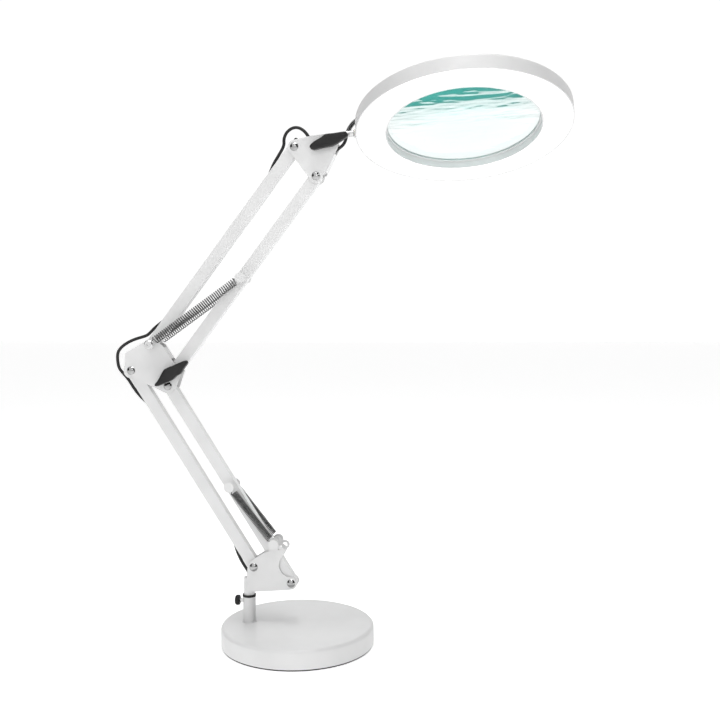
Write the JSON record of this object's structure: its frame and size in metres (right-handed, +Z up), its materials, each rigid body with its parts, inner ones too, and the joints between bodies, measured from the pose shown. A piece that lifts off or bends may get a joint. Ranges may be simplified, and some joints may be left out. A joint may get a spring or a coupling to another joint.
{
  "type": "magnifying lamp",
  "caption": "Round weighted base carrying a swivelling sprung parallelogram arm with a tilting ring light around a large magnifying lens.",
  "frame": {"origin": "centre of the base's underside, on the surface it stands on", "axes": "+Z up, +X from the post towards the lamp head, so both arms lie in the XZ plane"},
  "size_m": [0.5038, 0.224, 0.6124],
  "materials": {
    "white_paint": "semi-gloss powder coat",
    "base_paint": "semi-gloss powder coat",
    "cast_ballast": "raw",
    "pad_rubber": "matt",
    "bright_steel": "polished",
    "plain_steel": "zinc plated",
    "black_plastic": "matt moulded",
    "nylon": "natural nylon",
    "white_plastic": "semi-gloss moulded",
    "diffuser_plastic": "opal",
    "lens_glass": "polished",
    "circuit_board": "solder mask",
    "led_chip": "encapsulated",
    "cable_rubber": "satin"
  },
  "bodies": {
    "base": {"base_pad": "pad_rubber", "base_bottom_plate": "plain_steel", "base_ballast": "cast_ballast", "base_cover": "base_paint", "base_screws": "plain_steel", "cable_grommet": "black_plastic", "post_sleeve": "base_paint", "post_nut": "plain_steel", "post_collar": "black_plastic", "cable_base": "cable_rubber"},
    "thumb_screw": {"thumb_screw_shank": "bright_steel", "thumb_screw_knob": "black_plastic"},
    "swivel": {"swivel_pin": "white_paint", "arm_bracket": "white_paint", "bracket_rivets": "bright_steel", "lower_spring_anchor_studs": "white_paint", "cable_post": "cable_rubber"},
    "lower_rear": {"lower_rear_bar": "white_paint", "lower_rear_washers": "nylon", "lower_bar_plug": "black_plastic", "cable_lower": "cable_rubber"},
    "lower_front": {"lower_front_bar": "white_paint", "lower_front_washers": "nylon", "lower_spring_pin": "white_paint"},
    "lower_spring": {"lower_springs": "bright_steel"},
    "lower_spring_end": {"lower_spring_eyes": "bright_steel"},
    "elbow": {"elbow_plate": "white_paint", "elbow_rivets": "bright_steel", "elbow_spring_screw": "bright_steel", "elbow_bolt": "bright_steel", "cable_elbow": "cable_rubber"},
    "elbow_knob": {"elbow_wing_knob": "black_plastic"},
    "upper_rear": {"upper_rear_bar": "white_paint", "upper_rear_washers": "nylon", "upper_bar_plug": "black_plastic", "cable_upper": "cable_rubber"},
    "upper_front": {"upper_front_bar": "white_paint", "upper_front_washers": "nylon", "upper_spring_pin": "white_paint"},
    "upper_spring": {"upper_springs": "bright_steel"},
    "upper_spring_end": {"upper_spring_eyes": "bright_steel"},
    "head_plate": {"head_plate": "white_paint", "head_plate_rivets": "bright_steel", "head_bolt": "bright_steel", "cable_plate": "cable_rubber"},
    "head_knob": {"head_wing_knob": "black_plastic"},
    "knuckle": {"knuckle": "bright_steel", "head_swivel_bolt": "bright_steel", "head_swivel_nut": "plain_steel", "head_swivel_washer": "nylon"},
    "head": {"head_housing": "white_plastic", "diffuser": "diffuser_plastic", "led_board": "circuit_board", "leds": "led_chip", "driver_board": "circuit_board", "cable_inlet": "black_plastic", "lens": "lens_glass", "lens_clip": "white_plastic", "cable_guard": "bright_steel", "cable_head": "cable_rubber"}
  },
  "joints": [
    {"name": "thumb_screw_turn", "type": "hinge", "parent": "base", "child": "thumb_screw", "pos_m": [-0.066, 0, 0.0456], "axis": [1, 0, 0], "range_deg": [-180, 180]},
    {"name": "post_swivel", "type": "hinge", "parent": "base", "child": "swivel", "pos_m": [-0.055, 0, 0.0504], "axis": [0, 0, 1], "range_deg": [-175, 175]},
    {"name": "lower_arm", "type": "hinge", "parent": "swivel", "child": "lower_rear", "pos_m": [-0.0483, 0, 0.0852], "axis": [0, 1, 0], "range_deg": [-15, 45], "deforming": ["cable_post"]},
    {"name": "lower_front_pivot", "type": "hinge", "parent": "swivel", "child": "lower_front", "pos_m": [-0.0062, 0, 0.0682], "axis": [0, 1, 0], "range_deg": [-16, 46]},
    {"name": "elbow_level", "type": "hinge", "parent": "lower_rear", "child": "elbow", "pos_m": [-0.18622, 0, 0.30371], "axis": [0, 1, 0], "range_deg": [-46, 16], "deforming": ["cable_lower"]},
    {"name": "lower_spring_swing", "type": "hinge", "parent": "swivel", "child": "lower_spring", "pos_m": [-0.0243, 0, 0.1126], "axis": [0, 1, 0], "range_deg": [-24.21, 70.63]},
    {"name": "lower_spring_stretch", "type": "slide", "parent": "lower_spring", "child": "lower_spring_end", "axis": [-0.6197, 0, 0.7848], "range_m": [-0.00197, 0.00491], "deforming": ["lower_springs", "lower_spring_eyes"]},
    {"name": "elbow_knob_turn", "type": "hinge", "parent": "elbow", "child": "elbow_knob", "pos_m": [-0.1391, 0, 0.30135], "axis": [0, 1, 0], "range_deg": [-180, 180]},
    {"name": "upper_arm", "type": "hinge", "parent": "elbow", "child": "upper_rear", "pos_m": [-0.1627, 0, 0.3333], "axis": [0, 1, 0], "range_deg": [-15, 33], "deforming": ["cable_elbow"]},
    {"name": "upper_front_pivot", "type": "hinge", "parent": "elbow", "child": "upper_front", "pos_m": [-0.1391, 0, 0.30135], "axis": [0, 1, 0], "range_deg": [-16, 34]},
    {"name": "head_plate_level", "type": "hinge", "parent": "upper_rear", "child": "head_plate", "pos_m": [-0.0002, 0, 0.54754], "axis": [0, 1, 0], "range_deg": [-34, 16], "deforming": ["cable_upper"]},
    {"name": "upper_spring_swing", "type": "hinge", "parent": "elbow", "child": "upper_spring", "pos_m": [-0.1627, 0, 0.3333], "axis": [0, 1, 0], "range_deg": [-15.33, 32.53]},
    {"name": "upper_spring_stretch", "type": "slide", "parent": "upper_spring", "child": "upper_spring_end", "axis": [0.8164, 0, 0.5775], "range_m": [-0.01049, 0.02248], "deforming": ["upper_springs", "upper_spring_eyes"]},
    {"name": "head_knob_turn", "type": "hinge", "parent": "head_plate", "child": "head_knob", "pos_m": [0.0375, 0, 0.5535], "axis": [0, 1, 0], "range_deg": [-180, 180]},
    {"name": "head_tilt", "type": "hinge", "parent": "head_plate", "child": "knuckle", "pos_m": [0.0375, 0, 0.5535], "axis": [0, 1, 0], "range_deg": [-70, 38], "deforming": ["cable_plate"]},
    {"name": "head_swivel", "type": "hinge", "parent": "knuckle", "child": "head", "pos_m": [0.06643, 0, 0.56155], "axis": [0.998, 0, 0.0628], "range_deg": [-52, 88], "deforming": ["cable_head"]}
  ],
  "couplings": [
    {"joint": "lower_front_pivot", "follows": "lower_arm", "ratio": 1},
    {"joint": "elbow_level", "follows": "lower_arm", "ratio": -1},
    {"joint": "lower_spring_swing", "follows": "lower_arm", "ratio": 1.5473},
    {"joint": "lower_spring_stretch", "follows": "lower_arm", "m_per_rad": 0.00562},
    {"joint": "upper_front_pivot", "follows": "upper_arm", "ratio": 1},
    {"joint": "head_plate_level", "follows": "upper_arm", "ratio": -1},
    {"joint": "upper_spring_swing", "follows": "upper_arm", "ratio": 0.95535},
    {"joint": "upper_spring_stretch", "follows": "upper_arm", "m_per_rad": 0.03817}
  ]
}
